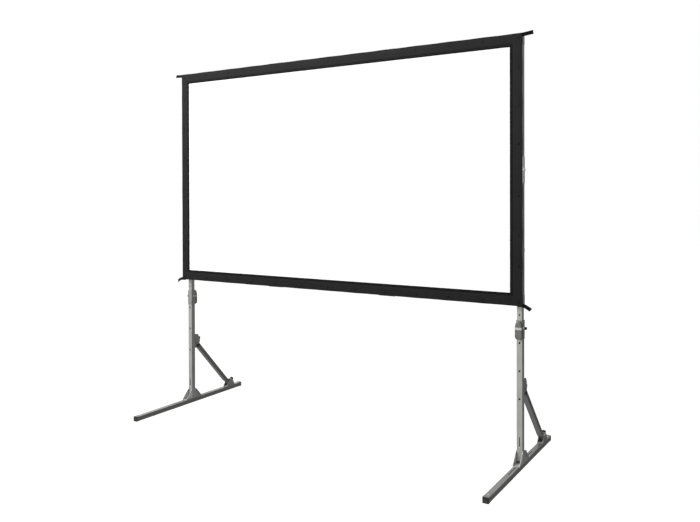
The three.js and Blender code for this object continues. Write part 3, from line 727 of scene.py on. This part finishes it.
def buildStrap(kind, sideName):
    lean = math.radians(straps["tabs"][kind, sideName]["lean"])
    half, middleY = straps["width"] / 2, cloth["front"] + straps["back"]
    points, places = [], []
    for x, z, up, off, run in strapRows(strapLine(kind, sideName), sides[sideName]):
        for share in even(straps["cells"]):
            along = (share - 0.5) * 2 * half
            rise = along * math.sin(lean) + off * math.cos(lean)
            back = (half + along) * math.cos(lean) - off * math.sin(lean)
            points.append((x + up[0] * rise, middleY + back, z + up[1] * rise))
            places.append((run, along))
    name = f"webbing_{kind}_{sideName}"
    piece = newSheet(name, points, straps["cells"] + 1, finishes["blackWebbing"])
    chart = piece.data.uv_layers.new(name="strap")
    for loop in piece.data.loops:
        chart.data[loop.index].uv = places[loop.vertex_index]
    faceOutward(piece)
    bpy.ops.object.shade_smooth()
    thicken(piece, straps["thick"], 0)
    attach(piece, "root" if kind == "bottom" else "top_rail")
    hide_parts(f"pull_tab_{kind}_{sideName}")


def buildStraps():
    for kind, sideName in straps["tabs"]:
        buildStrap(kind, sideName)
    print("straps sewn on")


# small round parts, drawn facing up: press studs, screws, rivets, plugs that are painted shade over the
# posts' holes, stop caps and washers; each ring gives how far it is set in from the last one and how much it
# rises
caps = dict(
    stud=dict(
        radius=0.0078, base=0.0012, sides=28, bevel=0.0004, look=("studPlastic", "knob_plastic"),
        rings=[(0.0016, -0.0004), (0.0007, 0.0014), (0.0022, 0.0004), (0.0009, -0.0006)],
    ),
    screw=dict(
        radius=0.0047, base=0.00144, sides=24, bevel=0.0003, look=("brightSteel", "steel"),
        rings=[(0.001316, 0.00096), (0.001222, 0.0), (0.0001, -0.00144)],
    ),
    rivet=dict(
        radius=0.0040, base=0.00096, sides=20, bevel=0.0003, look=("brightSteel", "steel"),
        rings=[(0.00112, 0.00064), (0.00104, 0.000192)],
    ),
    flush=dict(
        radius=0.0036, base=0.000132, sides=20, bevel=0.000055, look=("brightSteel", "steel"),
        rings=[(0.001008, 0.000088), (0.000936, -0.000022)],
    ),
    # painted shade: a near-black disc that stands for the dark inside of a hole in a post
    plug=dict(
        radius=0.0060, base=0.0006, sides=24, bevel=0.00025, look=("studPlastic", "knob_plastic"),
        rings=[(0.00168, -0.0003), (0.00156, -0.0001)],
    ),
    stop=dict(
        radius=0.0125, base=0.0036, sides=36, bevel=0.0003, look=("blackPlastic", "knob_plastic"),
        rings=[(0.0035, 0.0024), (0.00325, -0.0006)],
    ),
    washer=dict(
        radius=0.0085, base=0.00072, sides=32, bevel=0.0003, look=("brightSteel", "steel"),
        rings=[(0.00238, 0.00048), (0.00221, -0.00012)],
    ),
)
# how far the studs' base lies before the cloth's front
studLift = 0.0006


def newSolid(add, name, **sizes):
    bpy.ops.object.select_all(action="DESELECT")
    add(**sizes)
    bpy.ops.object.transform_apply(location=True)
    piece = bpy.context.object
    piece.name = name
    piece.data.name = name
    return piece


def newCylinder(name, height, **sizes):
    return newSolid(bpy.ops.mesh.primitive_cylinder_add, name, location=(0, 0, height), **sizes)


def pickParts(mode, parts, test):
    # opens the active piece with only the faces or points that pass the test picked
    bpy.ops.object.mode_set(mode="EDIT")
    bpy.ops.mesh.select_mode(type=mode)
    bpy.ops.mesh.select_all(action="DESELECT")
    bpy.ops.object.mode_set(mode="OBJECT")
    for part in parts:
        part.select = test(part)
    bpy.ops.object.mode_set(mode="EDIT")


def pickFaces(test):
    pickParts("FACE", bpy.context.object.data.polygons, test)


def ringFaces(rings, way=(0, 0, 1)):
    # sets the faces that look one way in by each ring's width, and raises them that way by its rise
    pickFaces(lambda face: face.normal.dot(Vector(way)) > 0.9)
    for width, rise in rings:
        bpy.ops.mesh.inset(thickness=width)
        bpy.ops.transform.translate(value=[rise * part for part in way])
    bpy.ops.object.mode_set(mode="OBJECT")


def roundEdges(piece, width, steps=2, angle=40):
    takeUp(piece)
    edge = piece.modifiers.new("edge", "BEVEL")
    edge.width, edge.segments, edge.limit_method = width, steps, "ANGLE"
    edge.angle_limit = math.radians(angle)
    bpy.ops.object.modifier_apply(modifier="edge")
    bpy.ops.object.shade_smooth_by_angle(angle=math.radians(35))


def makeCap(kind, angle):
    size = caps[kind]
    base = dict(vertices=size["sides"], radius=size["radius"], depth=size["base"])
    cap = newCylinder(f"{kind}_master", size["base"] / 2, **base)
    ringFaces(size["rings"])
    roundEdges(cap, size["bevel"], 2, angle)
    return cap


def dress(piece, body, finish, slot):
    piece.data.materials.clear()
    piece.data.materials.append(finishes[finish])
    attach(piece, body)


def setCopies(master, name, spots, facing, body, look):
    # copies of a master that faces up, each turned to face one way, joined into one piece
    turn = Vector(facing).to_track_quat("Z", "Y").to_matrix().to_4x4()
    made = []
    for spot in spots:
        copy = master.copy()
        copy.data = master.data.copy()
        copy.data.transform(Matrix.Translation(spot) @ turn)
        bpy.context.collection.objects.link(copy)
        made.append(copy)
    bpy.ops.object.select_all(action="DESELECT")
    for copy in made:
        copy.select_set(True)
    bpy.context.view_layer.objects.active = made[0]
    if len(made) > 1:
        bpy.ops.object.join()
    piece = bpy.context.object
    piece.name = name
    piece.data.name = name
    dress(piece, body, *look)
    return piece


def buildStuds():
    cap = makeCap("stud", 40)
    y = cloth["front"] - studLift
    edgeX, lowZ, highZ = clothSize[0] / 2 - cloth["studInset"], studsUp[0], studsUp[-1]
    rows = {"top": [(x, y, highZ) for x in studsAcross], "bottom": [(x, y, lowZ) for x in studsAcross]}
    for sideName, side in sides.items():
        rows[sideName] = [(side * edgeX, y, z) for z in studsUp[1:-1]]
    for name, spots in rows.items():
        row = setCopies(cap, f"studs_{name}", spots, (0, -1, 0), "root", caps["stud"]["look"])
        foldWithFrame(row, "knob_plastic")
    bpy.data.objects.remove(cap)
    print("studs pressed on")


# hand knobs: a lobed grip with a dished cap, on a round stem that is sunk into it; reach is the stem's length
# below the grip, and tip how far its end is drawn out
grips = dict(
    leg=dict(
        head=0.019, depth=0.018, lobes=6, lobe=0.0030, round=0.0020, stem=0.004, reach=0.0426, tip=0.0,
    ),
    clamp=dict(
        head=0.0095, depth=0.012, lobes=5, lobe=0.0017, round=0.0012, stem=0.003, reach=0.0045, tip=0.0008,
    ),
    upper=dict(
        head=0.015, depth=0.018, lobes=6, lobe=0.0024, round=0.0017, stem=0.004, reach=0.0222, tip=0.0,
    ),
    lower=dict(
        head=0.015, depth=0.018, lobes=6, lobe=0.0024, round=0.0017, stem=0.004, reach=0.0282, tip=0.0,
    ),
)
# the rings of the dish: what share of its size each keeps, and how much it rises
gripDish = [(0.80, 0.0), (0.93, -0.0010), (0.55, 0.0008)]
stemSunk = 0.002


def rowOf(point, lobes):
    # how many points away from a lobe's crest, of ten to a lobe
    turn = math.degrees(math.atan2(point.x, point.y)) % (360 / lobes)
    place = round(turn / (36 / lobes)) % 10
    return min(place, 10 - place)


def makeHead(size):
    # it stands on the ground plane; its flank is drawn in between the lobes
    head, depth, lobes = size["head"], size["depth"], size["lobes"]
    base = dict(vertices=lobes * 10, radius=head, depth=depth)
    knob = newCylinder("grip_master", depth / 2, **base)
    for row in range(1, 6):
        pickParts("VERT", knob.data.vertices, lambda point: rowOf(point.co, lobes) == row)
        thinner = 1 - size["lobe"] * (1 - math.cos(math.pi * row / 5)) / 2 / head
        bpy.ops.transform.resize(value=(thinner, thinner, 1), center_override=(0, 0, 0))
        bpy.ops.object.mode_set(mode="OBJECT")
    for way in (1, -1):
        pickFaces(lambda face: face.normal.z * way > 0.9)
        bpy.ops.mesh.bevel(offset=size["round"], segments=4, affect="EDGES")
        bpy.ops.object.mode_set(mode="OBJECT")
    # the cap sits in a shallow dish, with a low dome in its middle
    pickFaces(lambda face: face.normal.z > 0.99 and face.area > head * head * 0.5)
    for share, rise in gripDish:
        bpy.ops.mesh.inset(thickness=0.00002)
        bpy.ops.transform.resize(value=(share, share, 1), center_override=(0, 0, depth))
        bpy.ops.transform.translate(value=(0, 0, rise))
    bpy.ops.object.mode_set(mode="OBJECT")
    bpy.ops.object.shade_smooth_by_angle(angle=math.radians(35))
    return knob


def makeGrip(size):
    knob = makeHead(size)
    length = size["reach"] + stemSunk
    base = dict(vertices=20, radius=size["stem"], depth=length)
    stem = newCylinder("stem_master", stemSunk - length / 2, **base)
    ringFaces([(size["stem"] * 0.25, size["tip"])], (0, 0, -1))
    roundEdges(stem, 0.0004)
    knob.select_set(True)
    bpy.context.view_layer.objects.active = knob
    bpy.ops.object.join()
    return knob


def fromPivot(along, out):
    # a place on a brace, in a side view: along it from its upper bolt and out from its middle
    return [strut["pivot"][turn] + along * strut["along"][turn] + out * strut["out"][turn] for turn in (0, 1)]


def buildGrips():
    for sideName, side in sides.items():
        low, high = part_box(f"leg_knob_{sideName}")
        legBase = (side * postX, high[1] - grips["leg"]["depth"], (low[2] + high[2]) / 2)
        low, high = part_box(f"clamp_knob_{sideName}")
        outer = high[0] if side > 0 else low[0]
        clampBase = (outer - side * grips["clamp"]["depth"], (low[1] + high[1]) / 2, (low[2] + high[2]) / 2)
        places = {
            "leg": (f"leg_knob_{sideName}", legBase, (0, 1, 0)),
            "clamp": (f"clamp_knob_{sideName}", clampBase, (side, 0, 0)),
        }
        for level, place in strut["knobs"].items():
            base = (side * postX, *fromPivot(*place))
            places[level] = (f"brace_knob_{level}_{sideName}", base, (0, *strut["out"]))
        for kind, (node, base, facing) in places.items():
            master = makeGrip(grips[kind])
            look = ("blackPlastic", "knob_plastic")
            grip = setCopies(master, f"grip_{kind}_{sideName}", [base], facing, node, look)
            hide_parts(node)
            bpy.data.objects.remove(master)
    print("hand knobs made")


# fasteners on the frame's back: kind, name, distances from the middle, depth, height and body
frameFasteners = [
    ("screw", "screws_bottom_joints", (0.431, 0.507), -0.0229, 1.025, "root"),
    ("screw", "screws_top_joints", (0.431, 0.507), -0.0229, 2.639, "top_rail"),
    ("screw", "screws_leg_plates", (1.25275, 1.33675), -0.01755, 1.025, "root"),
    ("flush", "rivets_bottom_corners", (1.3885,), -0.0257, 1.0634, "root"),
    ("flush", "rivets_top_corners", (1.3885,), -0.0257, 2.6006, "top_rail"),
]
# fasteners and painted hole shade in the middle of each leg: kind, name, which way they face, depth, heights
# and body
legFastenersAndHoleShade = [
    ("rivet", "rivet_post", (0, -1, 0), -0.019, (0.133,), "lower_leg_{}"),
    # the plugs here are near-black discs of painted shade where the posts have holes
    ("plug", "hole_shade_upper", (0, -1, 0), -0.01686, (0.946,), "root"),
    ("plug", "hole_shades_post", (0, -1, 0), -0.0189, (0.774, 0.602, 0.430), "lower_leg_{}"),
    ("rivet", "rivet_foot", (0, 0, 1), -0.550, (0.0345,), "foot_{}"),
]
# the side hinges' rivets lie aside from each other, so that they clear each other on the folded frame
hingeRivets = dict(x=1.4098, y=-0.0447, z=1.832, aside=0.0038, steps=(0.0205, 0.0615))
braceStop = dict(out=0.0193, y=0.047, z=0.456)
# how far a clamp's washer lies behind the end of its band's boss
washerSunk = 0.0011


def buildFasteners():
    masters = {kind: makeCap(kind, 30) for kind in caps if kind != "stud"}

    def fasten(kind, name, spots, facing, body):
        setCopies(masters[kind], name, spots, facing, body, caps[kind]["look"])

    for kind, name, distances, y, z, body in frameFasteners:
        fasten(kind, name, [(half * x, y, z) for half in (-1, 1) for x in distances], (0, 1, 0), body)
    for sideName, side in sides.items():
        legBody = f"lower_leg_{sideName}"
        for level, way in (("lower", -1), ("upper", 1)):
            x, y = side * hingeRivets["x"], hingeRivets["y"] + way * hingeRivets["aside"]
            spots = [(x, y, hingeRivets["z"] + way * step) for step in hingeRivets["steps"]]
            name, body = f"rivets_hinge_{level}_{sideName}", f"side_{level}_{sideName}"
            fasten("flush", name, spots, (side, 0, 0), body)
        for kind, name, facing, y, heights, body in legFastenersAndHoleShade:
            spots = [(side * postX, y, z) for z in heights]
            fasten(kind, f"{name}_{sideName}", spots, facing, body.format(sideName))
        for way, edge in (("out", 1), ("in", -1)):
            place = (side * postX + edge * braceStop["out"], braceStop["y"], braceStop["z"])
            fasten("stop", f"brace_stop_{way}_{sideName}", [place], (edge, 0, 0), legBody)
        low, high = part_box(f"clamp_band_{sideName}")
        tip = high[0] if side > 0 else low[0]
        place = (tip - side * washerSunk, 0, (low[2] + high[2]) / 2)
        fasten("washer", f"washer_clamp_{sideName}", [place], (side, 0, 0), legBody)
    for master in masters.values():
        bpy.data.objects.remove(master)
    print("fasteners set")


# end pieces and thin plates, for the right side: ring is how one face is set in and raised, and edge the
# width, steps and angle of the rounded edges
postTop = dict(width=0.0345, thick=0.0030, spigot=0.0300, deep=0.012, ring=(0.0030, 0.0008), edge=(0.0012, 3))
cornerCap = dict(
    low=(1.3870, -0.0637, 2.6400), high=(1.4087, -0.0257, 2.6590), ring=(0.0045, -0.0006),
    edge=(0.0040, 4, 60),
)
cornerPlate = dict(
    low=(1.4077, -0.0620, 2.5900), high=(1.4088, -0.0270, 2.6400), ring=(0.0035, -0.0002), edge=(0.0005, 2),
    levels=dict(top=(0, "top_rail"), bottom=(-1.5660, "root")),
)
bracketPanel = dict(
    outline=[(-0.0706, 0.0466), (-0.0188, 0.0466), (-0.0188, 0.1026)], inner=0.0202, wall=0.0014,
    edge=(0.0003,),
)
# painted shade: a near-black strip that stands for the dark inside of the slot in each post's front
slotShadeStrip = dict(
    half=0.0026, low=(-0.0193, 0.136), high=(-0.0180, 0.197), ring=(0.0012, -0.0002), edge=(0.0003,),
)
# on each brace, drawn across, along and out from its upper bolt; way is the face that the ring sets in
braceParts = dict(
    sleeve=dict(
        half=0.01615, along=(-0.013, 0.058), out=(0.002, 0.0137), way=(0, 0, 1), ring=(0.0045, -0.0006),
        edge=(0.0008, 3), look=("blackPlastic", "knob_plastic"),
    ),
    rail=dict(
        half=0.016, along=(0.053, 0.535), out=(-0.0181, -0.0124), way=(0, 0, -1), ring=(0.0050, -0.0008),
        edge=(0.0012, 3), look=("braceMetal", "post_metal"),
    ),
    plug=dict(
        half=0.0161, along=(0.59463, 0.60163), out=(-0.0126, 0.0126), way=(0, 1, 0), ring=(0.0040, 0.0012),
        edge=(0.0010, 3), look=("blackPlastic", "knob_plastic"),
    ),
)


def newBlock(name, low, high):
    piece = newSolid(bpy.ops.mesh.primitive_cube_add, name, size=1)
    middle = [(first + second) / 2 for first, second in zip(low, high)]
    bpy.ops.object.mode_set(mode="EDIT")
    bpy.ops.mesh.select_all(action="SELECT")
    bpy.ops.transform.resize(value=[abs(second - first) for first, second in zip(low, high)])
    bpy.ops.transform.translate(value=middle)
    bpy.ops.object.mode_set(mode="OBJECT")
    return piece


def newPlate(name, low, high, way, size):
    piece = newBlock(name, low, high)
    ringFaces([size["ring"]], way)
    roundEdges(piece, *size["edge"])
    return piece


def buildPostTops():
    half, deep = postTop["width"] / 2, postTop["deep"]
    for sideName, side in sides.items():
        x, top = side * postX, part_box(f"upper_post_{sideName}")[1][2]
        low, high = (x - half, -half, top), (x + half, half, top + postTop["thick"])
        cap = newBlock(f"post_top_{sideName}", low, high)
        pickFaces(lambda face: face.normal.z < -0.9)
        bpy.ops.mesh.inset(thickness=half - postTop["spigot"] / 2)
        bpy.ops.mesh.extrude_region_move(TRANSFORM_OT_translate={"value": (0, 0, -deep)})
        bpy.ops.object.mode_set(mode="OBJECT")
        ringFaces([postTop["ring"]])
        roundEdges(cap, *postTop["edge"])
        dress(cap, "root", "blackPlastic", "knob_plastic")
    print("post tops plugged")


def buildCorners():
    for sideName, side in sides.items():
        (x0, *low), (x1, *high) = cornerCap["low"], cornerCap["high"]
        name = f"corner_cap_{sideName}"
        cap = newPlate(name, (side * x0, *low), (side * x1, *high), (side, 0, 0), cornerCap)
        dress(cap, "top_rail", "blackPlastic", "knob_plastic")
        (x0, y0, z0), (x1, y1, z1) = cornerPlate["low"], cornerPlate["high"]
        for level, (rise, body) in cornerPlate["levels"].items():
            name = f"corner_plate_{level}_{sideName}"
            low, high = (side * x0, y0, z0 + rise), (side * x1, y1, z1 + rise)
            plate = newPlate(name, low, high, (side, 0, 0), cornerPlate)
            dress(plate, body, "sideMetal", "frame_tube")
    print("corners capped")


def leanOnBrace(piece, side):
    # from its own drawing (across, along, out) to its place on a brace
    (alongY, alongZ), (outY, outZ), (pivotY, pivotZ) = strut["along"], strut["out"], strut["pivot"]
    piece.data.transform(Matrix((
        (1, 0, 0, side * postX), (0, alongY, outY, pivotY), (0, alongZ, outZ, pivotZ), (0, 0, 0, 1),
    )))
    faceOutward(piece)


def buildBraceParts():
    for sideName, side in sides.items():
        for kind, size in braceParts.items():
            half, (start, stop), (low, high) = size["half"], size["along"], size["out"]
            name = f"brace_{kind}_{sideName}"
            part = newPlate(name, (-half, start, low), (half, stop, high), size["way"], size)
            leanOnBrace(part, side)
            dress(part, f"brace_{sideName}", *size["look"])
    print("brace ends capped")


def newPrism(name, outline, x0, x1):
    # an outline in a side view, filled and drawn out from x0 to x1
    count = len(outline)
    points = [(x, *place) for x in (x0, x1) for place in outline]
    faces = [tuple(range(count)), tuple(range(count, 2 * count))]
    for turn in range(count):
        after = (turn + 1) % count
        faces.append((turn, after, after + count, turn + count))
    mesh = bpy.data.meshes.new(name)
    mesh.from_pydata(points, [], faces)
    piece = bpy.data.objects.new(name, mesh)
    bpy.context.collection.objects.link(piece)
    faceOutward(piece)
    return piece


def buildLegInfills():
    # a thin panel in each window of the base brackets, and a near-black strip of painted shade on the post's
    # front above its rivet, standing for the dark inside of a slot there
    inner, wall = bracketPanel["inner"], bracketPanel["wall"]
    half = slotShadeStrip["half"]
    for sideName, side in sides.items():
        x = side * postX
        for way, edge in (("out", 1), ("in", -1)):
            name = f"bracket_panel_{way}_{sideName}"
            panel = newPrism(name, bracketPanel["outline"], x + edge * inner, x + edge * (inner + wall))
            roundEdges(panel, *bracketPanel["edge"])
            dress(panel, f"foot_{sideName}", "panelMetal", "post_metal")
        low, high = (x - half, *slotShadeStrip["low"]), (x + half, *slotShadeStrip["high"])
        strip = newPlate(f"post_slot_shade_{sideName}", low, high, (0, -1, 0), slotShadeStrip)
        dress(strip, f"lower_leg_{sideName}", "studPlastic", "knob_plastic")
    print("leg infills set")


setCamera()
setStudio()
dressNodes()
buildCloth()
buildStraps()
buildStuds()
buildGrips()
buildFasteners()
buildPostTops()
buildCorners()
buildBraceParts()
buildLegInfills()
